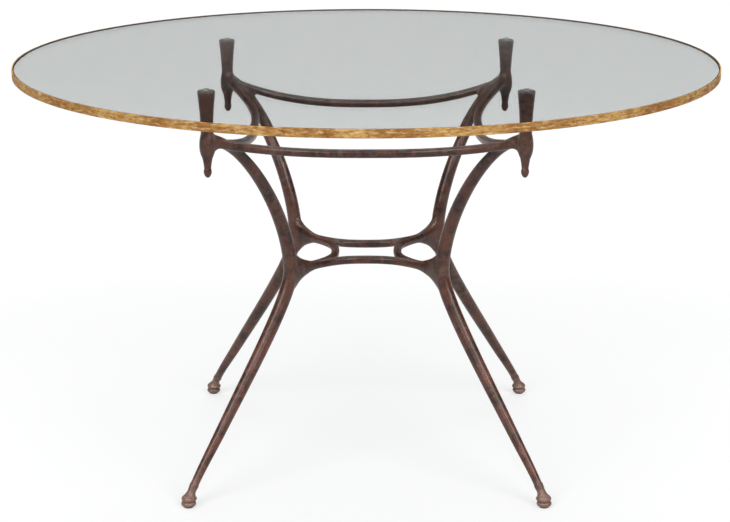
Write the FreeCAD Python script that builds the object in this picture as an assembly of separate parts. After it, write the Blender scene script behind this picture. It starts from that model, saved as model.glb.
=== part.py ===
"""Round glass centre table on a cast iron base: four bent legs tied by bowed bars.

Millimetres, +Z up. The origin is on the floor under the centre of the top, and the front faces -Y.
Each leg lies in an upright plane through the table's centre line, at 45 degrees to the X and Y axes.
"""
import FreeCAD, Part
import math
import os

from FreeCAD import Vector

# Top: a glass disc with a thin gilded metal band bonded round its edge
top_diameter = 1300.0
table_height = 760.0
glass_thickness = 15.0
band_thickness = 3.0
band_edge_round = 0.8
glue_line = 0.2

# Corners: post and foot centres, from the middle of the table along X and along Y alike
post_offset = 277.0
foot_offset = 320.0

# Clear bumper on each post: a low dome with a flat tip that carries the glass
bumper_height = 3.5
bumper_radius = 6.3
bumper_tip_radius = 2.5
bumper_shoulder_radius = 4.9
bumper_shoulder_height = 2.5

# Post: a horn that narrows downwards and stands on the leg's boss
post_length = 63.5
post_top_radius = 15.6
post_top_round = 3.0
post_neck_radius = 10.9
post_waist_radius = 11.9
post_waist_height = 20.0

# Boss at the head of each leg, barrel shaped, with the finial under it
boss_length = 46.0
boss_radius = 14.2
boss_widest_drop = 22.0
boss_lower_radius = 12.8
boss_lower_drop = 35.5
boss_seat_radius = 8.8

# Finial: a drop that ends in a small ball
finial_length = 33.5
finial_shoulder_radius = 7.3
finial_shoulder_drop = 8.0
finial_throat_radius = 6.1
finial_throat_drop = 18.0
finial_ball_radius = 6.9
finial_tip_radius = 2.5

# Threaded stud that runs through the boss and holds post and finial
stud_radius = 4.0
stud_clearance = 0.1
stud_end_gap = 0.5
stud_depth_in_post = 20.0
stud_depth_in_finial = 12.0

# Bars meet the boss at this depth under its top, and the last part of the arm flares out to it
bar_drop = 16.0
flare_start = 0.78
flare_half_height = 15.5
flare_half_width = 12.0
flare_bend = 2.0

# Leg: an arm up to the boss and a shin down to the ankle, both leaving the waist upright
waist_reach = 197.4
waist_height = 391.0
arm_rise = 105.0
arm_run = 81.0
arm_crest = 3.0
shin_drop = 53.5
shin_reach = 200.0
shin_angle = 36.6
ankle_height = 40.0
ankle_setback = 15.5
waist_radius = 13.2
arm_end_radius = 7.8
ankle_radius = 7.8
arm_taper = 1.5
shin_taper = 2.5

# Upper stretchers: bars from boss to boss that bow inwards and sag
stretcher_radius = 8.2
stretcher_bow = 68.0
stretcher_sag = 36.0
stretcher_plan_bend = 2.4
stretcher_sag_bend = 2.5

# Waist rails: bars from leg to leg, pinched together towards the middle, with tall webs at the legs
rail_radius = 8.0
rail_inset = 59.0
rail_straight = 50.0
rail_pinch = 68.0
rail_web_height = 33.0
rail_web_start = 0.7
rail_web_bend = 2.6

# Foot: a bell below the ankle, threaded for the levelling glide
foot_seat_height = 11.4
foot_seat_radius = 11.2
foot_bell_radius = 13.3
foot_bell_height = 17.8
foot_flare_radius = 9.2
foot_flare_height = 23.0
foot_neck_radius = 7.6
foot_neck_height = 28.5
foot_knuckle_radius = 8.3
foot_knuckle_height = 35.5
foot_bend = 1.3
foot_bore_depth = 9.0

# Levelling glide: a turned pad on a screw, shown fully screwed in, on a nylon sole
glide_seat_gap = 0.3
glide_bulge_radius = 13.0
glide_bulge_height = 4.6
glide_screw_radius = 3.0
glide_screw_clearance = 0.05
glide_screw_end_gap = 1.0
sole_radius = 8.5
sole_thickness = 2.0

# Sections along each shin and half stretcher, along each arm with its flare and each half rail with its web
bar_steps = 8
arm_steps = 20
rail_steps = 16

# Places worked out from the sizes above
top_radius = top_diameter / 2
glass_bottom = table_height - glass_thickness
post_top = glass_bottom - bumper_height
boss_top = post_top - post_length
bar_level = boss_top - bar_drop
boss_bottom = boss_top - boss_length
finial_bottom = boss_bottom - finial_length
post_reach = post_offset * math.sqrt(2)
foot_reach = foot_offset * math.sqrt(2)
UP = Vector(0, 0, 1)

# Corner angles about the table's centre line, and the quarter turns from the front to each side
CORNERS = {"front_left": 225, "front_right": 315, "back_right": 45, "back_left": 135}
SIDES = {"front": 0, "right": 90, "back": 180, "left": 270}


def turned(shape, angle):
    """A copy of a shape, turned about the table's centre line."""
    copy = shape.copy()
    copy.rotate(Vector(), UP, angle)
    return copy


def revolved(edges, reach):
    """A solid of revolution about an upright axis, from outline edges in the plane y = 0."""
    outline = Part.Face(Part.Wire(edges))
    solid = outline.revolve(Vector(), UP, 360)
    solid.translate(Vector(reach, 0, 0))
    return solid


def line(start, end):
    """A straight outline edge between two (radius, height) points."""
    return Part.LineSegment(Vector(start[0], 0, start[1]), Vector(end[0], 0, end[1])).toShape()


def arc(start, middle, end):
    """A round outline edge through three (radius, height) points."""
    points = [Vector(radius, 0, height) for radius, height in (start, middle, end)]
    return Part.Arc(*points).toShape()


def smooth(points):
    """A smooth outline edge through (radius, height) points."""
    curve = Part.BSplineCurve()
    curve.interpolate([Vector(radius, 0, height) for radius, height in points])
    return curve.toShape()


def bezier(*poles):
    """A Bezier curve from its control points."""
    curve = Part.BezierCurve()
    curve.setPoles(list(poles))
    return curve


def upright_cylinder(radius, bottom, top, reach=0.0):
    """A cylinder about an upright axis at a distance from the centre line along X."""
    return Part.makeCylinder(radius, top - bottom, Vector(reach, 0, bottom))


def section(center, along, across, half_width, half_height):
    """An ellipse square to a bar: half_width lies along the across direction, half_height square to it."""
    tall = along.cross(across)
    outline = Part.Ellipse(Vector(), half_height, half_width).toShape()
    rotation = FreeCAD.Rotation(tall, along.cross(tall), along, "ZXY")
    outline.Placement = FreeCAD.Placement(center, rotation)
    return Part.Wire(outline)


def steps(count):
    """Even parameters from 0 to 1."""
    return [index / count for index in range(count + 1)]


def make_glass():
    """The glass disc, inside the band by the glue line."""
    radius = top_radius - band_thickness - glue_line
    return upright_cylinder(radius, glass_bottom, table_height)


def make_band():
    """The gilded hoop, flush with both faces of the glass, its outer edges rounded."""
    hoop = upright_cylinder(top_radius, glass_bottom, table_height)
    rims = [edge for edge in hoop.Edges if len(edge.Vertexes) == 1]
    hoop = hoop.makeFillet(band_edge_round, rims)
    return hoop.cut(upright_cylinder(top_radius - band_thickness, glass_bottom, table_height))


def make_bumper():
    """A dome on the post's flat top, cut flat where the glass lies on it."""
    shoulder = (bumper_shoulder_radius, post_top + bumper_shoulder_height)
    outline = [
        line((0, post_top), (bumper_radius, post_top)),
        arc((bumper_radius, post_top), shoulder, (bumper_tip_radius, glass_bottom)),
        line((bumper_tip_radius, glass_bottom), (0, glass_bottom)),
        line((0, glass_bottom), (0, post_top)),
    ]
    return revolved(outline, post_reach)


def make_post():
    """The horn, with the stud's blind hole in its lower end."""
    waist = (post_waist_radius, boss_top + post_waist_height)
    rim_bottom = (post_top_radius, post_top - post_top_round)
    corner = post_top_round * math.sqrt(0.5)
    rim_middle = (rim_bottom[0] - post_top_round + corner, rim_bottom[1] + corner)
    rim_top = (post_top_radius - post_top_round, post_top)
    outline = [
        line((0, boss_top), (post_neck_radius, boss_top)),
        smooth([(post_neck_radius, boss_top), waist, rim_bottom]),
        arc(rim_bottom, rim_middle, rim_top),
        line(rim_top, (0, post_top)),
        line((0, post_top), (0, boss_top)),
    ]
    hole_radius = stud_radius + stud_clearance
    hole = upright_cylinder(hole_radius, boss_top, boss_top + stud_depth_in_post, post_reach)
    return revolved(outline, post_reach).cut(hole)


def make_finial():
    """The drop under the boss, with the stud's blind hole in its upper end."""
    shoulder = (finial_shoulder_radius, boss_bottom - finial_shoulder_drop)
    throat = (finial_throat_radius, boss_bottom - finial_throat_drop)
    ball_middle = (finial_ball_radius, (throat[1] + finial_bottom) / 2)
    tip = (finial_tip_radius, finial_bottom)
    outline = [
        line((0, boss_bottom), (boss_seat_radius, boss_bottom)),
        smooth([(boss_seat_radius, boss_bottom), shoulder, throat]),
        arc(throat, ball_middle, tip),
        line(tip, (0, finial_bottom)),
        line((0, finial_bottom), (0, boss_bottom)),
    ]
    hole_radius = stud_radius + stud_clearance
    hole = upright_cylinder(hole_radius, boss_bottom - stud_depth_in_finial, boss_bottom, post_reach)
    return revolved(outline, post_reach).cut(hole)


def make_stud():
    """The threaded stud, short of the bottom of both blind holes."""
    bottom = boss_bottom - stud_depth_in_finial + stud_end_gap
    top = boss_top + stud_depth_in_post - stud_end_gap
    return upright_cylinder(stud_radius, bottom, top, post_reach)


def leg_curves():
    """The leg's centre line in its own plane: the arm from waist to boss, the shin from waist to ankle."""
    waist = Vector(waist_reach, 0, waist_height)
    boss = Vector(post_reach, 0, bar_level)
    ankle = Vector(foot_reach - ankle_setback, 0, ankle_height)
    slope = math.radians(shin_angle)
    shin_back = Vector(-math.sin(slope), 0, math.cos(slope)) * shin_reach
    arm = bezier(waist, waist + UP * arm_rise, boss + Vector(-arm_run, 0, arm_crest), boss)
    shin = bezier(waist, waist - UP * shin_drop, ankle + shin_back, ankle)
    return arm, shin


def make_leg_blank():
    """The leg casting before drilling: one tapered bar from ankle to boss, flared there, and the boss."""
    arm, shin = leg_curves()
    across = Vector(0, 1, 0)
    sections = []
    for share in reversed(steps(bar_steps)):
        radius = waist_radius - (waist_radius - ankle_radius) * share ** shin_taper
        sections.append(section(shin.value(share), shin.tangent(share)[0] * -1, across, radius, radius))
    for share in steps(arm_steps)[1:]:
        radius = waist_radius - (waist_radius - arm_end_radius) * share ** arm_taper
        growth = max(0.0, (share - flare_start) / (1 - flare_start)) ** flare_bend
        half_width = radius + (flare_half_width - radius) * growth
        half_height = radius + (flare_half_height - radius) * growth
        sections.append(section(arm.value(share), arm.tangent(share)[0], across, half_width, half_height))
    bar = Part.makeLoft(sections, True)
    outline = [
        line((0, boss_bottom), (boss_seat_radius, boss_bottom)),
        smooth([
            (boss_seat_radius, boss_bottom),
            (boss_lower_radius, boss_top - boss_lower_drop),
            (boss_radius, boss_top - boss_widest_drop),
            (post_neck_radius, boss_top),
        ]),
        line((post_neck_radius, boss_top), (0, boss_top)),
        line((0, boss_top), (0, boss_bottom)),
    ]
    return bar.fuse(revolved(outline, post_reach)).removeSplitter()


def make_leg(blank):
    """The leg with the stud's hole drilled through its boss."""
    hole = upright_cylinder(stud_radius + stud_clearance, boss_bottom, boss_top, post_reach)
    return blank.cut(hole)


def fitted_bar(right_half, blank):
    """A front bar from the sections of its right half, mitred to its neighbours and cut to both legs."""
    sections = []
    for center, along, half_width, half_height in reversed(right_half[1:]):
        mirrored_center = Vector(-center.x, center.y, center.z)
        mirrored_along = Vector(along.x, -along.y, -along.z)
        across = UP.cross(mirrored_along).normalize()
        sections.append(section(mirrored_center, mirrored_along, across, half_width, half_height))
    for center, along, half_width, half_height in right_half:
        sections.append(section(center, along, UP.cross(along).normalize(), half_width, half_height))
    bar = Part.makeLoft(sections, True)
    corners = [Vector(), Vector(top_radius, -top_radius, 0), Vector(-top_radius, -top_radius, 0), Vector()]
    quarter = Part.Face(Part.makePolygon(corners)).extrude(UP * table_height)
    bar = bar.common(quarter)
    for corner in ("front_left", "front_right"):
        bar = bar.cut(turned(blank, CORNERS[corner]))
    return max(bar.Solids, key=lambda solid: solid.Volume)


def make_stretcher(blank):
    """The front upper stretcher, bowed inwards in plan and sagging between the bosses."""
    right_half = []
    for share in steps(bar_steps):
        bow = stretcher_bow * (1 - share ** stretcher_plan_bend)
        sag = stretcher_sag * (1 - share ** stretcher_sag_bend)
        center = Vector(share * post_offset, bow - post_offset, bar_level - sag)
        bow_slope = -stretcher_bow * stretcher_plan_bend * share ** (stretcher_plan_bend - 1)
        sag_slope = stretcher_sag * stretcher_sag_bend * share ** (stretcher_sag_bend - 1)
        along = Vector(post_offset, bow_slope, sag_slope).normalize()
        right_half.append((center, along, stretcher_radius, stretcher_radius))
    return fitted_bar(right_half, blank)


def make_rail(blank):
    """The front waist rail: it runs into the legs along their planes and grows there to a tall, full web."""
    middle = Vector(0, -rail_inset, waist_height)
    pinch = Vector(rail_pinch, -rail_pinch, waist_height)
    waist_offset = waist_reach / math.sqrt(2)
    waist = Vector(waist_offset, -waist_offset, waist_height)
    curve = bezier(middle, middle + Vector(rail_straight, 0, 0), pinch, waist)
    right_half = []
    for share in steps(rail_steps):
        web_share = max(0.0, (share - rail_web_start) / (1 - rail_web_start))
        growth = web_share ** rail_web_bend
        half_height = rail_radius + rail_web_height * growth
        half_width = rail_radius + (waist_radius - rail_radius) * growth
        right_half.append((curve.value(share), curve.tangent(share)[0], half_width, half_height))
    return fitted_bar(right_half, blank)


def make_foot():
    """The bell foot: it takes over the ankle's section, bends upright and ends on a flat seat."""
    ankle_reach = foot_reach - ankle_setback
    slope = math.radians(shin_angle)
    profile = [
        (ankle_height, ankle_radius),
        (foot_knuckle_height, foot_knuckle_radius),
        (foot_neck_height, foot_neck_radius),
        (foot_flare_height, foot_flare_radius),
        (foot_bell_height, foot_bell_radius),
        (foot_seat_height, foot_seat_radius),
    ]
    sections = []
    for height, radius in profile:
        share = (height - foot_seat_height) / (ankle_height - foot_seat_height)
        tilt = slope * share
        reach = foot_reach - ankle_setback * share ** foot_bend
        along = Vector(math.sin(tilt), 0, -math.cos(tilt))
        sections.append(section(Vector(reach, 0, height), along, Vector(0, 1, 0), radius, radius))
    bore_radius = glide_screw_radius + glide_screw_clearance
    bore = upright_cylinder(bore_radius, foot_seat_height, foot_seat_height + foot_bore_depth, foot_reach)
    return Part.makeLoft(sections, True).cut(bore)


def make_glide():
    """The turned pad and its screw, as one piece."""
    pad_top = foot_seat_height - glide_seat_gap
    screw_top = foot_seat_height + foot_bore_depth - glide_screw_end_gap
    bulge = (glide_bulge_radius, glide_bulge_height)
    outline = [
        line((0, sole_thickness), (sole_radius, sole_thickness)),
        arc((sole_radius, sole_thickness), bulge, (foot_seat_radius, pad_top)),
        line((foot_seat_radius, pad_top), (glide_screw_radius, pad_top)),
        line((glide_screw_radius, pad_top), (glide_screw_radius, screw_top)),
        line((glide_screw_radius, screw_top), (0, screw_top)),
        line((0, screw_top), (0, sole_thickness)),
    ]
    return revolved(outline, foot_reach)


def make_sole():
    """The nylon disc that stands on the floor."""
    return upright_cylinder(sole_radius, 0, sole_thickness, foot_reach)


def main():
    """Builds every piece and writes one file for each."""
    os.makedirs("parts", exist_ok=True)
    blank = make_leg_blank()
    corner_pieces = {
        "bumper": make_bumper(),
        "post": make_post(),
        "stud": make_stud(),
        "finial": make_finial(),
        "leg": make_leg(blank),
        "foot": make_foot(),
        "glide": make_glide(),
        "sole": make_sole(),
    }
    side_pieces = {"stretcher": make_stretcher(blank), "waist_rail": make_rail(blank)}
    pieces = {"glass_top": make_glass(), "edge_band": make_band()}
    for name, shape in corner_pieces.items():
        for corner, angle in CORNERS.items():
            pieces[name + "_" + corner] = turned(shape, angle)
    for name, shape in side_pieces.items():
        for side, angle in SIDES.items():
            pieces[name + "_" + side] = turned(shape, angle)
    for name, shape in pieces.items():
        shape.exportStep("parts/" + name + ".step")
        print(name, len(shape.Solids), shape.isValid(), round(shape.Volume))


main()
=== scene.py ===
"""Looks of the round glass center table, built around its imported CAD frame.

Metres, +Z up, the front towards -Y. The iron of the base is blended into one smooth casting and parted
again into a leg at each corner and a stretcher and a waist rail on each side. The glass is modelled anew
with its ground edge. The other pieces keep their CAD shapes and get their finishes here.
"""
import math

import bmesh
import bpy
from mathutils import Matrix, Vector
from mathutils.kdtree import KDTree


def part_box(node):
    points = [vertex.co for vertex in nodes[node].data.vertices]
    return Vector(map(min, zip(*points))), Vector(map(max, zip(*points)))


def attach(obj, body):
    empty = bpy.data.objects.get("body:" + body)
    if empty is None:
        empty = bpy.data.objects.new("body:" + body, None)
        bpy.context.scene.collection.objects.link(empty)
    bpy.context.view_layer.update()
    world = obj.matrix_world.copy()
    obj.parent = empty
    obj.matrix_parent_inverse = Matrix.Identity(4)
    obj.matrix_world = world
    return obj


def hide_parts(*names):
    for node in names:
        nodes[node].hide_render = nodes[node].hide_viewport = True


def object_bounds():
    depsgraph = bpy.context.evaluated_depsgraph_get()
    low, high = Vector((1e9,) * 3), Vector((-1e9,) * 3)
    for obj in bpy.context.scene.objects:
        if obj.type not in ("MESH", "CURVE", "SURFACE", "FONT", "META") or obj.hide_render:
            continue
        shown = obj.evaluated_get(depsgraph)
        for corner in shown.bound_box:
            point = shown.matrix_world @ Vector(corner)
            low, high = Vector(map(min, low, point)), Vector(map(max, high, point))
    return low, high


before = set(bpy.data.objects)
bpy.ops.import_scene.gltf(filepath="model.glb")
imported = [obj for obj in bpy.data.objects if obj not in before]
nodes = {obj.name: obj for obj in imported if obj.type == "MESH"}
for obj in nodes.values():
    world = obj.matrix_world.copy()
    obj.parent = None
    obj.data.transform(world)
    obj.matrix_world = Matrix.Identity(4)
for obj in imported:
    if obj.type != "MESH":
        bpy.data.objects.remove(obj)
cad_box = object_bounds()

MM = 0.001
SIDES = ("front", "right", "back", "left")
CORNERS = ("front_left", "front_right", "back_right", "back_left")

# Camera, from the photograph's perspective: place, downward tilt and lens, and the frame in pixels
CAMERA_PLACE = (0.0, -3.838, 1.408)
CAMERA_TILT = 15.10
CAMERA_FOCUS_PIXELS = 2088.4
FRAME_WIDTH_PIXELS = 730
CENTRE_OFFSET_PIXELS = 1.4
SENSOR_WIDTH = 36.0

# Casting: fillets in general, and wide ones between these levels and within this reach of a boss
FILLET = 3.5 * MM
WIDE_FILLET = 9.0 * MM
WAIST_LEVELS = (300 * MM, 490 * MM)
BOSS_REACH = 36 * MM

# Blending: the modifiers that make one skin of several and smooth it, and the gap that is merged first
REMESH = ("REMESH", {"mode": "VOXEL", "voxel_size": 1.6 * MM})
SMOOTHING = ("SMOOTH", {"factor": 0.5, "iterations": 4})
MERGE_DISTANCE = 0.001 * MM

# Parting: how far from the middle of their side stretchers and rails part from the legs, the share of that
# within which a bar's vertices give the middle of the cut, and how far a cut reaches
STRETCHER_PART = 185 * MM
RAIL_PART = 42 * MM
MIDDLE_SHARE = 1 / 8
PART_REACH = 22 * MM
CUT_TOLERANCE = 1e-7

# Ankle joint: its height, its setback from the foot's axis and the shin's slope
ANKLE_HEIGHT = 40 * MM
ANKLE_SETBACK = 15.5 * MM
SHIN_SLOPE = math.radians(36.6)

# Glass: segments round its edge and the width of the ground arrises. A face whose normal rises less than
# the slant belongs to the bonded edge. The index is lower than real glass has, for a view free of glare
GLASS_SEGMENTS = 256
GLASS_ARRIS = 0.6 * MM
EDGE_SLANT = 0.5
LEVEL_TOLERANCE = 1e-6
GLASS_INDEX = 1.2

# Patina: widths of its patches, bloom, rust, olive patches and pits, and the levels between which it is
# made paler towards the floor on the feet
PATCH_SIZE = 40 * MM
BLOOM_SIZE = 22 * MM
RUST_SIZE = 12 * MM
OLIVE_SIZE = 28 * MM
PIT_SIZE = 3.5 * MM
PALER_TOWARDS_FLOOR_LEVELS = (18 * MM, 55 * MM)

# Gilding: streaks along the band, patches of tone, wear, and how deep the leaf reaches from the outside
STREAK_LENGTH = 16 * MM
STREAK_WIDTH = 4 * MM
TONE_SIZE = 60 * MM
WEAR_SIZE = 9 * MM
LEAF_DEPTH = 2.5 * MM

# Other finishes: adhesive smears, haze in the bumpers, scuffs on the soles and the studs' thread. At the
# wave scale a wave texture has one ring in each unit of length
SMEAR_SIZE = 12 * MM
HAZE_SIZE = 5 * MM
SCUFF_SIZE = 4 * MM
THREAD_PITCH = 1.25 * MM
WAVE_SCALE = math.tau / 20

# Sockets of a Mix node set to colours, because its sockets for numbers have the same names
SHARE, UNDER, OVER, MIXED = 0, 6, 7, 2

# Studio: the floor's size and the white added to what the eye sees of it
FLOOR_SIZE = 600.0
FLOOR_GLOW = 0.61

# Backdrop: white by height, which is the sine of the elevation. The skirt and the pale horizon fade out at
# their rise and add up to full white at the floor. The ceiling fades in between its two heights
SKIRT_WHITE = 0.27
SKIRT_RISE = 0.12
HORIZON_WHITE = 0.73
HORIZON_RISE = 0.185
CEILING_WHITE = 0.4
CEILING_HEIGHTS = (0.4, 0.9)

# Lamps: the direction that each shines along, its spread in degrees and its strength
LAMPS = {
    "overhead": ((0.0, -0.5, -1.0), 60, 1.2),
    "front_left": ((0.42, 0.66, -0.62), 34, 1.8),
    "front_right": ((-0.42, 0.66, -0.62), 34, 1.8),
}


# Materials

def linear(hex_colour):
    """An sRGB hex colour as linear RGBA."""
    channels = [int(hex_colour[start:start + 2], 16) / 255 for start in (1, 3, 5)]
    return [((c + 0.055) / 1.055) ** 2.4 if c > 0.04045 else c / 12.92 for c in channels] + [1.0]


def add(tree, kind, inputs=None, **settings):
    """Adds a node with its settings; each input is linked to a socket or set to a value."""
    node = tree.nodes.new(kind)
    for name, value in settings.items():
        setattr(node, name, value)
    for socket, value in (inputs or {}).items():
        if isinstance(value, bpy.types.NodeSocket):
            tree.links.new(value, node.inputs[socket])
        else:
            node.inputs[socket].default_value = value
    return node


def new_material(name):
    """An empty node material and its tree."""
    material = bpy.data.materials.new(name)
    material.use_nodes = True
    material.node_tree.nodes.clear()
    return material, material.node_tree


def patinated_cast_iron():
    """Sand-cast iron, patinated and waxed: oxblood brown in soft patches, rust, bloom and satin streaks.

    The feet are paler than the rest, more so towards the floor. The pits are drawn coarser than real ones, so
    that they show.
    """
    material, tree = new_material("cast_iron_patinated_and_waxed")
    place = add(tree, "ShaderNodeTexCoord").outputs["Object"]
    patch = add(tree, "ShaderNodeTexNoise", {"Vector": place, "Scale": 1 / PATCH_SIZE, "Detail": 4.0})
    patch_share = add(tree, "ShaderNodeMapRange", {
        "Value": patch.outputs["Fac"], "From Min": 0.4, "From Max": 0.6})
    bloom = add(tree, "ShaderNodeTexNoise", {
        "Vector": place, "Scale": 1 / BLOOM_SIZE, "Detail": 6.0, "Roughness": 0.65})
    bloom_share = add(tree, "ShaderNodeMapRange", {
        "Value": bloom.outputs["Fac"], "From Min": 0.52, "From Max": 0.7, "To Max": 0.7})
    # The fourth coordinate of rust and olive keeps them from following the other patterns
    rust = add(tree, "ShaderNodeTexNoise", {
        "Vector": place, "Scale": 1 / RUST_SIZE, "Detail": 5.0, "Roughness": 0.6, "W": 3.0},
        noise_dimensions="4D")
    rust_share = add(tree, "ShaderNodeMapRange", {
        "Value": rust.outputs["Fac"], "From Min": 0.5, "From Max": 0.68, "To Max": 0.7})
    olive = add(tree, "ShaderNodeTexNoise", {
        "Vector": place, "Scale": 1 / OLIVE_SIZE, "Detail": 5.0, "W": 9.0}, noise_dimensions="4D")
    olive_share = add(tree, "ShaderNodeMapRange", {
        "Value": olive.outputs["Fac"], "From Min": 0.5, "From Max": 0.66, "To Max": 0.75})
    pits = add(tree, "ShaderNodeTexNoise", {"Vector": place, "Scale": 1 / PIT_SIZE, "Detail": 3.0})
    pit_share = add(tree, "ShaderNodeMapRange", {
        "Value": pits.outputs["Fac"], "From Min": 0.44, "From Max": 0.3, "To Max": 0.6})
    height = add(tree, "ShaderNodeSeparateXYZ", {"Vector": place}).outputs["Z"]
    # Paler colour towards the floor on the feet, in patches that follow the bloom
    near_floor = add(tree, "ShaderNodeMapRange", {
        "Value": height, "From Min": PALER_TOWARDS_FLOOR_LEVELS[1], "From Max": PALER_TOWARDS_FLOOR_LEVELS[0], "To Max": 1.5})
    pale_share = add(tree, "ShaderNodeMath", {
        0: near_floor.outputs[0], 1: bloom.outputs["Fac"]}, operation="MULTIPLY", use_clamp=True)
    colour = linear("#623B30")
    for share, coat in (
            (patch_share, "#341E18"), (olive_share, "#4A3826"), (bloom_share, "#745A51"),
            (rust_share, "#7C4535"), (pale_share, "#94766A"), (pit_share, "#1F120E")):
        layer = add(tree, "ShaderNodeMix", {
            SHARE: share.outputs[0], UNDER: colour, OVER: linear(coat)}, data_type="RGBA")
        colour = layer.outputs[MIXED]
    gloss = add(tree, "ShaderNodeMapRange", {
        "Value": bloom.outputs["Fac"], "From Min": 0.3, "From Max": 0.7, "To Min": 0.27, "To Max": 0.4})
    grain = add(tree, "ShaderNodeBump", {
        "Height": pits.outputs["Fac"], "Strength": 0.12, "Distance": 0.3 * MM})
    waves = add(tree, "ShaderNodeBump", {
        "Height": bloom.outputs["Fac"], "Normal": grain.outputs[0], "Strength": 0.12, "Distance": 1.5 * MM})
    shader = add(tree, "ShaderNodeBsdfPrincipled", {
        "Base Color": colour, "Roughness": gloss.outputs[0], "Normal": waves.outputs[0],
        "Specular IOR Level": 0.4})
    add(tree, "ShaderNodeOutputMaterial", {"Surface": shader.outputs[0]})
    return material


def worn_gilding():
    """Metal leaf on brown bole, rubbed along the edge: gold, with pale, brown and red streaks of wear.

    Its inner side, behind the leaf, is bare and dark.
    """
    material, tree = new_material("metal_leaf_gilding_rubbed")
    place = add(tree, "ShaderNodeTexCoord").outputs["Object"]
    axes = add(tree, "ShaderNodeSeparateXYZ", {"Vector": place})
    angle = add(tree, "ShaderNodeMath", {0: axes.outputs["Y"], 1: axes.outputs["X"]}, operation="ARCTAN2")
    level_place = add(tree, "ShaderNodeCombineXYZ", {"X": axes.outputs["X"], "Y": axes.outputs["Y"]})
    radius = add(tree, "ShaderNodeVectorMath", {0: level_place.outputs[0]}, operation="LENGTH")
    along = add(tree, "ShaderNodeMath", {
        0: angle.outputs[0], 1: cad_box[1].x / STREAK_LENGTH}, operation="MULTIPLY")
    across = add(tree, "ShaderNodeMath", {0: axes.outputs["Z"], 1: 1 / STREAK_WIDTH}, operation="MULTIPLY")
    streak_place = add(tree, "ShaderNodeCombineXYZ", {"X": along.outputs[0], "Y": across.outputs[0]})
    streak = add(tree, "ShaderNodeTexNoise", {
        "Vector": streak_place.outputs[0], "Scale": 1.0, "Detail": 5.0, "Roughness": 0.65})
    streak_share = add(tree, "ShaderNodeMapRange", {
        "Value": streak.outputs["Fac"], "From Min": 0.48, "From Max": 0.64, "To Max": 0.8})
    pale_share = add(tree, "ShaderNodeMapRange", {
        "Value": streak.outputs["Fac"], "From Min": 0.46, "From Max": 0.34, "To Max": 0.8})
    tone = add(tree, "ShaderNodeTexNoise", {"Vector": place, "Scale": 1 / TONE_SIZE, "Detail": 4.0})
    tone_share = add(tree, "ShaderNodeMapRange", {
        "Value": tone.outputs["Fac"], "From Min": 0.38, "From Max": 0.62})
    wear = add(tree, "ShaderNodeTexNoise", {
        "Vector": place, "Scale": 1 / WEAR_SIZE, "Detail": 8.0, "Roughness": 0.7})
    wear_share = add(tree, "ShaderNodeMapRange", {
        "Value": wear.outputs["Fac"], "From Min": 0.54, "From Max": 0.7, "To Max": 0.75})
    inside = add(tree, "ShaderNodeMath", {
        0: radius.outputs["Value"], 1: cad_box[1].x - LEAF_DEPTH}, operation="LESS_THAN")
    colour = linear("#CFA566")
    for share, coat in (
            (tone_share, "#A77843"), (streak_share, "#8B5A34"), (pale_share, "#E6C996"),
            (wear_share, "#5E3722"), (inside, "#2E2822")):
        layer = add(tree, "ShaderNodeMix", {
            SHARE: share.outputs[0], UNDER: colour, OVER: linear(coat)}, data_type="RGBA")
        colour = layer.outputs[MIXED]
    gloss = add(tree, "ShaderNodeMapRange", {
        "Value": wear.outputs["Fac"], "From Min": 0.3, "From Max": 0.7, "To Min": 0.36, "To Max": 0.6})
    relief = add(tree, "ShaderNodeBump", {
        "Height": wear.outputs["Fac"], "Strength": 0.25, "Distance": 0.5 * MM})
    shader = add(tree, "ShaderNodeBsdfPrincipled", {
        "Base Color": colour, "Roughness": gloss.outputs[0], "Normal": relief.outputs[0],
        "Metallic": 0.15, "Specular IOR Level": 0.04, "Specular Tint": linear("#8B5A34")})
    add(tree, "ShaderNodeOutputMaterial", {"Surface": shader.outputs[0]})
    return material


def clear_float_glass():
    """Polished float glass: clear, faintly grey-green, with little glare, and it lets lamps through."""
    material, tree = new_material("float_glass_polished")
    path = add(tree, "ShaderNodeLightPath")
    lamp_ray = add(tree, "ShaderNodeMath", {
        0: path.outputs["Is Shadow Ray"], 1: path.outputs["Is Diffuse Ray"]}, operation="MAXIMUM")
    pane = add(tree, "ShaderNodeBsdfPrincipled", {
        "Base Color": linear("#F8FCFB"), "Roughness": 0.0, "IOR": GLASS_INDEX, "Transmission Weight": 1.0})
    shade = add(tree, "ShaderNodeBsdfTransparent", {"Color": linear("#DDE2E1")})
    both = add(tree, "ShaderNodeMixShader", {0: lamp_ray.outputs[0], 1: pane.outputs[0], 2: shade.outputs[0]})
    add(tree, "ShaderNodeOutputMaterial", {"Surface": both.outputs[0]})
    return material


def bonded_edge():
    """Ground glass edge under a film of cured adhesive: a dark, dull line round the top."""
    material, tree = new_material("ground_glass_edge_bonded")
    place = add(tree, "ShaderNodeTexCoord").outputs["Object"]
    smear = add(tree, "ShaderNodeTexNoise", {"Vector": place, "Scale": 1 / SMEAR_SIZE, "Detail": 3.0})
    colour = add(tree, "ShaderNodeMix", {
        SHARE: smear.outputs["Fac"], UNDER: linear("#2A2620"), OVER: linear("#4A4238")}, data_type="RGBA")
    shader = add(tree, "ShaderNodeBsdfPrincipled", {"Base Color": colour.outputs[MIXED], "Roughness": 0.6})
    add(tree, "ShaderNodeOutputMaterial", {"Surface": shader.outputs[0]})
    return material


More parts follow.
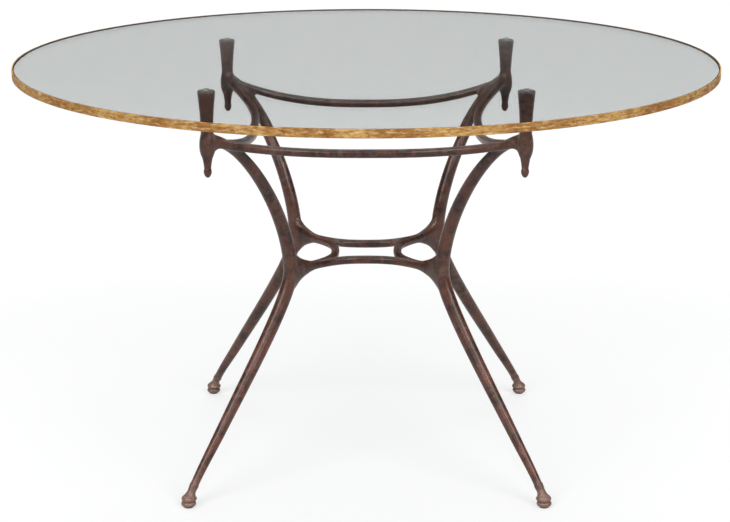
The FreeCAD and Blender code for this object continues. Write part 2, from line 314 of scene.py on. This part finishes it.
def moulded_polyurethane():
    """Clear moulded polyurethane: a soft dome, hazy in cloudy patches and faintly yellowed."""
    material, tree = new_material("clear_polyurethane_moulded")
    place = add(tree, "ShaderNodeTexCoord").outputs["Object"]
    haze = add(tree, "ShaderNodeTexNoise", {"Vector": place, "Scale": 1 / HAZE_SIZE, "Detail": 4.0})
    colour = add(tree, "ShaderNodeMix", {
        SHARE: haze.outputs["Fac"], UNDER: linear("#CDD2D0"), OVER: linear("#B4B5A8")}, data_type="RGBA")
    gloss = add(tree, "ShaderNodeMapRange", {
        "Value": haze.outputs["Fac"], "From Min": 0.3, "From Max": 0.7, "To Min": 0.22, "To Max": 0.42})
    shader = add(tree, "ShaderNodeBsdfPrincipled", {
        "Base Color": colour.outputs[MIXED], "Roughness": gloss.outputs[0], "IOR": 1.49,
        "Transmission Weight": 0.35})
    add(tree, "ShaderNodeOutputMaterial", {"Surface": shader.outputs[0]})
    return material


def black_nylon():
    """Moulded black nylon: matte, scuffed grey by the floor."""
    material, tree = new_material("black_nylon_moulded")
    place = add(tree, "ShaderNodeTexCoord").outputs["Object"]
    scuff = add(tree, "ShaderNodeTexNoise", {"Vector": place, "Scale": 1 / SCUFF_SIZE, "Detail": 5.0})
    scuff_share = add(tree, "ShaderNodeMapRange", {
        "Value": scuff.outputs["Fac"], "From Min": 0.45, "From Max": 0.75})
    colour = add(tree, "ShaderNodeMix", {
        SHARE: scuff_share.outputs[0], UNDER: linear("#161514"), OVER: linear("#3A3634")}, data_type="RGBA")
    shader = add(tree, "ShaderNodeBsdfPrincipled", {"Base Color": colour.outputs[MIXED], "Roughness": 0.6})
    add(tree, "ShaderNodeOutputMaterial", {"Surface": shader.outputs[0]})
    return material


def rolled_steel_thread():
    """Plain steel rod with a rolled thread: fine bright rings."""
    material, tree = new_material("steel_thread_rolled")
    place = add(tree, "ShaderNodeTexCoord").outputs["Object"]
    thread = add(tree, "ShaderNodeTexWave", {
        "Vector": place, "Scale": WAVE_SCALE / THREAD_PITCH}, bands_direction="Z")
    colour = add(tree, "ShaderNodeMix", {
        SHARE: thread.outputs["Fac"], UNDER: linear("#6D6C6A"), OVER: linear("#A8A7A5")}, data_type="RGBA")
    relief = add(tree, "ShaderNodeBump", {
        "Height": thread.outputs["Fac"], "Strength": 1.0, "Distance": 0.6 * MM})
    shader = add(tree, "ShaderNodeBsdfPrincipled", {
        "Base Color": colour.outputs[MIXED], "Roughness": 0.35, "Metallic": 1.0, "Normal": relief.outputs[0]})
    add(tree, "ShaderNodeOutputMaterial", {"Surface": shader.outputs[0]})
    return material


def studio_floor():
    """Seamless paper floor: white to the eye and in glass and metal, and it keeps the soft shadow."""
    material, tree = new_material("paper_floor_seamless")
    path = add(tree, "ShaderNodeLightPath")
    seen = add(tree, "ShaderNodeMath", {
        0: path.outputs["Is Camera Ray"], 1: path.outputs["Is Glossy Ray"]}, operation="MAXIMUM")
    seen_or_through = add(tree, "ShaderNodeMath", {
        0: seen.outputs[0], 1: path.outputs["Is Transmission Ray"]}, operation="MAXIMUM")
    level = add(tree, "ShaderNodeMath", {0: seen_or_through.outputs[0], 1: FLOOR_GLOW}, operation="MULTIPLY")
    paper = add(tree, "ShaderNodeBsdfDiffuse", {"Color": linear("#9C9C9C")})
    glow = add(tree, "ShaderNodeEmission", {"Color": linear("#FFFFFF"), "Strength": level.outputs[0]})
    both = add(tree, "ShaderNodeAddShader", {0: paper.outputs[0], 1: glow.outputs[0]})
    add(tree, "ShaderNodeOutputMaterial", {"Surface": both.outputs[0]})
    return material


# Pieces

def add_piece(name, mesh, body, replaced, slot, *materials):
    """Puts a finished mesh in the scene as a piece that rides on a body and stands for a CAD node."""
    piece = bpy.data.objects.new(name, mesh)
    bpy.context.scene.collection.objects.link(piece)
    for material in materials:
        mesh.materials.append(material)
    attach(piece, body)
    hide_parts(replaced)


def finished_mesh(shape, *modifiers):
    """A bmesh as a mesh, after modifiers given as (kind, settings); the bmesh is used up."""
    mesh = bpy.data.meshes.new("work")
    shape.to_mesh(mesh)
    shape.free()
    blank = bpy.data.objects.new("work", mesh)
    bpy.context.scene.collection.objects.link(blank)
    for kind, settings in modifiers:
        modifier = blank.modifiers.new(kind, kind)
        for name, value in settings.items():
            setattr(modifier, name, value)
    depsgraph = bpy.context.evaluated_depsgraph_get()
    finished = bpy.data.meshes.new_from_object(blank.evaluated_get(depsgraph))
    bpy.data.objects.remove(blank)
    return finished


def filleted_iron(fillet):
    """All the iron as one skin, grown and shrunk again by the fillet, which rounds every inner corner."""
    iron = bmesh.new()
    for kind in ("leg", "post", "stud", "finial", "foot"):
        for corner in CORNERS:
            iron.from_mesh(nodes[f"{kind}_{corner}"].data)
    for kind in ("stretcher", "waist_rail"):
        for side in SIDES:
            iron.from_mesh(nodes[f"{kind}_{side}"].data)
    bmesh.ops.remove_doubles(iron, verts=iron.verts, dist=MERGE_DISTANCE)
    grow = ("DISPLACE", {"strength": fillet, "mid_level": 0})
    shrink = ("DISPLACE", {"strength": -fillet, "mid_level": 0})
    return finished_mesh(iron, REMESH, grow, REMESH, shrink, REMESH)


def in_wide_zone(place, bosses):
    """Whether a place is round the waist or near a boss."""
    if WAIST_LEVELS[0] < place.z < WAIST_LEVELS[1]:
        return True
    return any((place - boss).length < BOSS_REACH for boss in bosses)


def blended_iron():
    """The iron with small fillets in its crotches and wide ones round the waist and the bosses, smoothed."""
    iron = bmesh.new()
    iron.from_mesh(filleted_iron(WIDE_FILLET))
    bosses = [middle_of(f"stud_{corner}") for corner in CORNERS]
    others = [face for face in iron.faces if not in_wide_zone(face.calc_center_median(), bosses)]
    bmesh.ops.delete(iron, geom=others, context="FACES")
    bmesh.ops.holes_fill(iron, edges=[edge for edge in iron.edges if edge.is_boundary], sides=0)
    iron.from_mesh(filleted_iron(FILLET))
    return finished_mesh(iron, REMESH, SMOOTHING)


def part_across(iron, faces, point, direction):
    """Parts the iron at a plane across one bar, which has these faces there."""
    geometry = set(faces)
    for face in faces:
        geometry.update(face.verts)
        geometry.update(face.edges)
    cut = bmesh.ops.bisect_plane(
        iron, geom=list(geometry), dist=CUT_TOLERANCE, plane_co=point, plane_no=direction)
    rim = [element for element in cut["geom_cut"] if isinstance(element, bmesh.types.BMEdge)]
    bmesh.ops.split_edges(iron, edges=rim)


def islands(iron):
    """The faces of each connected part, in the same order on each run."""
    found = set()
    for seed in iron.faces:
        if seed in found:
            continue
        found.add(seed)
        waiting = [seed]
        island = []
        while waiting:
            face = waiting.pop()
            island.append(face)
            for edge in face.edges:
                for neighbour in edge.link_faces:
                    if neighbour not in found:
                        found.add(neighbour)
                        waiting.append(neighbour)
        yield island


def middle_of(name):
    """The middle of a CAD node's box."""
    low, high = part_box(name)
    return (low + high) / 2


def joint_planes():
    """A point and a direction for each joint between the pieces of iron."""
    planes = []
    for corner in CORNERS:
        post = middle_of(f"post_{corner}")
        planes.append((Vector((post.x, post.y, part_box(f"post_{corner}")[0].z)), Vector((0, 0, 1))))
        planes.append((Vector((post.x, post.y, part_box(f"finial_{corner}")[1].z)), Vector((0, 0, 1))))
        sole = middle_of(f"sole_{corner}")
        outwards = Vector((sole.x, sole.y, 0)).normalized()
        ankle = Vector((sole.x, sole.y, ANKLE_HEIGHT)) - outwards * ANKLE_SETBACK
        planes.append((ankle, outwards * math.sin(SHIN_SLOPE) - Vector((0, 0, math.cos(SHIN_SLOPE)))))
    for kind, distance in (("stretcher", STRETCHER_PART), ("waist_rail", RAIL_PART)):
        for side in SIDES:
            vertices = [vertex.co for vertex in nodes[f"{kind}_{side}"].data.vertices]
            along = Vector((1, 0, 0)) if side in ("front", "back") else Vector((0, 1, 0))
            for end in (-distance, distance):
                near = [place for place in vertices if abs(place.dot(along) - end) < distance * MIDDLE_SHARE]
                point = sum(near, Vector()) / len(near)
                planes.append((point + along * (end - point.dot(along)), along))
    return planes


def part_iron(iron):
    """Parts the blended iron where its pieces meet."""
    planes = joint_planes()
    finder = KDTree(len(planes))
    for index, plane in enumerate(planes):
        finder.insert(plane[0], index)
    finder.balance()
    near = {index: [] for index in range(len(planes))}
    for face in iron.faces:
        nearest, index, distance = finder.find(face.calc_center_median())
        if distance < PART_REACH:
            near[index].append(face)
    for index, (point, direction) in enumerate(planes):
        part_across(iron, near[index], point, direction)


def make_castings(finish):
    """Closed castings of the legs, stretchers and waist rails, from the blended iron."""
    iron = bmesh.new()
    iron.from_mesh(blended_iron())
    part_iron(iron)
    names = [f"{kind}_{side}" for kind in ("stretcher", "waist_rail") for side in SIDES]
    names += [f"{kind}_{corner}" for kind in ("leg", "post", "finial", "foot") for corner in CORNERS]
    middles = {name: middle_of(name) for name in names}
    for island in list(islands(iron)):
        middle = sum((face.calc_center_median() for face in island), Vector()) / len(island)
        name = min(names, key=lambda each: (middles[each] - middle).length)
        if name.startswith(("post", "finial", "foot")):
            continue
        casting = bmesh.new()
        made = {}
        for face in island:
            for vertex in face.verts:
                if vertex not in made:
                    made[vertex] = casting.verts.new(vertex.co)
            casting.faces.new([made[vertex] for vertex in face.verts]).smooth = True
        rims = [edge for edge in casting.edges if edge.is_boundary]
        for edge in rims:
            edge.smooth = False
        bmesh.ops.holes_fill(casting, edges=rims, sides=0)
        mesh = bpy.data.meshes.new(f"{name}_casting")
        casting.to_mesh(mesh)
        casting.free()
        add_piece(f"{name}_casting", mesh, "base", name, "patinated_iron", finish)
    iron.free()


def make_glass(pane, edge):
    """The round pane with ground arrises; its edge carries the film that bonds the band."""
    low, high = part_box("glass_top")
    glass = bmesh.new()
    bmesh.ops.create_circle(glass, cap_ends=True, segments=GLASS_SEGMENTS, radius=high.x)
    bmesh.ops.translate(glass, verts=glass.verts, vec=(0, 0, low.z))
    raised = bmesh.ops.extrude_face_region(glass, geom=glass.faces[:], use_keep_orig=True)
    lifted = [element for element in raised["geom"] if isinstance(element, bmesh.types.BMVert)]
    bmesh.ops.translate(glass, verts=lifted, vec=(0, 0, high.z - low.z))
    bmesh.ops.recalc_face_normals(glass, faces=glass.faces)
    rims = [each for each in glass.edges if abs(each.verts[0].co.z - each.verts[1].co.z) < LEVEL_TOLERANCE]
    bmesh.ops.bevel(
        glass, geom=rims, offset=GLASS_ARRIS, offset_type="OFFSET", segments=1, profile=0.5, affect="EDGES",
        material=-1)
    for face in glass.faces:
        if abs(face.normal.z) < EDGE_SLANT:
            face.material_index = 1
            face.smooth = True
    mesh = bpy.data.meshes.new("glass_top_pane")
    glass.to_mesh(mesh)
    glass.free()
    add_piece("glass_top_pane", mesh, "top", "glass_top", "top_glass", pane, edge)


def finish_node(name, material):
    """Gives a CAD node its finish."""
    for slot in nodes[name].material_slots:
        slot.material = material


# Studio

def make_floor():
    """A wide paper floor under the soles."""
    floor = bmesh.new()
    bmesh.ops.create_grid(floor, x_segments=1, y_segments=1, size=FLOOR_SIZE / 2)
    mesh = bpy.data.meshes.new("floor")
    floor.to_mesh(mesh)
    floor.free()
    piece = bpy.data.objects.new("floor", mesh)
    bpy.context.scene.collection.objects.link(piece)
    mesh.materials.append(studio_floor())


def make_world():
    """A dim studio: a backdrop that is white at the floor and dark above, and a pale ceiling.

    The glass mirrors the dark part at the photograph's angle, so it shows what lies under it.
    """
    world = bpy.data.worlds.new("studio")
    bpy.context.scene.world = world
    world.use_nodes = True
    tree = world.node_tree
    tree.nodes.clear()
    direction = add(tree, "ShaderNodeTexCoord").outputs["Generated"]
    height = add(tree, "ShaderNodeSeparateXYZ", {"Vector": direction}).outputs["Z"]
    skirt = add(tree, "ShaderNodeMapRange", {
        "Value": height, "From Max": SKIRT_RISE, "To Min": SKIRT_WHITE, "To Max": 0.0})
    horizon = add(tree, "ShaderNodeMapRange", {
        "Value": height, "From Max": HORIZON_RISE, "To Min": HORIZON_WHITE, "To Max": 0.0})
    ceiling = add(tree, "ShaderNodeMapRange", {
        "Value": height, "From Min": CEILING_HEIGHTS[0], "From Max": CEILING_HEIGHTS[1],
        "To Max": CEILING_WHITE}, interpolation_type="SMOOTHSTEP")
    backdrop = add(tree, "ShaderNodeMath", {0: skirt.outputs[0], 1: horizon.outputs[0]}, operation="ADD")
    level = add(tree, "ShaderNodeMath", {0: backdrop.outputs[0], 1: ceiling.outputs[0]}, operation="ADD")
    background = add(tree, "ShaderNodeBackground", {
        "Color": linear("#FFFFFF"), "Strength": level.outputs[0]})
    add(tree, "ShaderNodeOutputWorld", {"Surface": background.outputs[0]})


def add_soft_sun(name, direction, spread, strength):
    """A wide, even lamp that shines along a direction, the same on the whole floor."""
    lamp = bpy.data.lights.new(name, "SUN")
    lamp.angle = math.radians(spread)
    lamp.energy = strength
    light = bpy.data.objects.new(name, lamp)
    light.rotation_euler = Vector(direction).to_track_quat("-Z", "Y").to_euler()
    bpy.context.scene.collection.objects.link(light)


def make_camera():
    """The photograph's camera."""
    camera = bpy.data.cameras.new("camera")
    camera.sensor_width = SENSOR_WIDTH
    camera.lens = CAMERA_FOCUS_PIXELS / FRAME_WIDTH_PIXELS * SENSOR_WIDTH
    camera.shift_x = -CENTRE_OFFSET_PIXELS / FRAME_WIDTH_PIXELS
    view = bpy.data.objects.new("camera", camera)
    view.location = CAMERA_PLACE
    view.rotation_euler = (math.radians(90 - CAMERA_TILT), 0, 0)
    bpy.context.scene.collection.objects.link(view)
    bpy.context.scene.camera = view


iron_finish = patinated_cast_iron()
corner_finishes = {
    "bumper": moulded_polyurethane(),
    "post": iron_finish,
    "stud": rolled_steel_thread(),
    "finial": iron_finish,
    "foot": iron_finish,
    "glide": iron_finish,
    "sole": black_nylon(),
}
for kind, finish in corner_finishes.items():
    for corner in CORNERS:
        finish_node(f"{kind}_{corner}", finish)
finish_node("edge_band", worn_gilding())
make_castings(iron_finish)
make_glass(clear_float_glass(), bonded_edge())
make_floor()
make_world()
for lamp_name, (direction, spread, strength) in LAMPS.items():
    add_soft_sun(lamp_name, direction, spread, strength)
make_camera()
bpy.context.scene.view_settings.view_transform = "Standard"
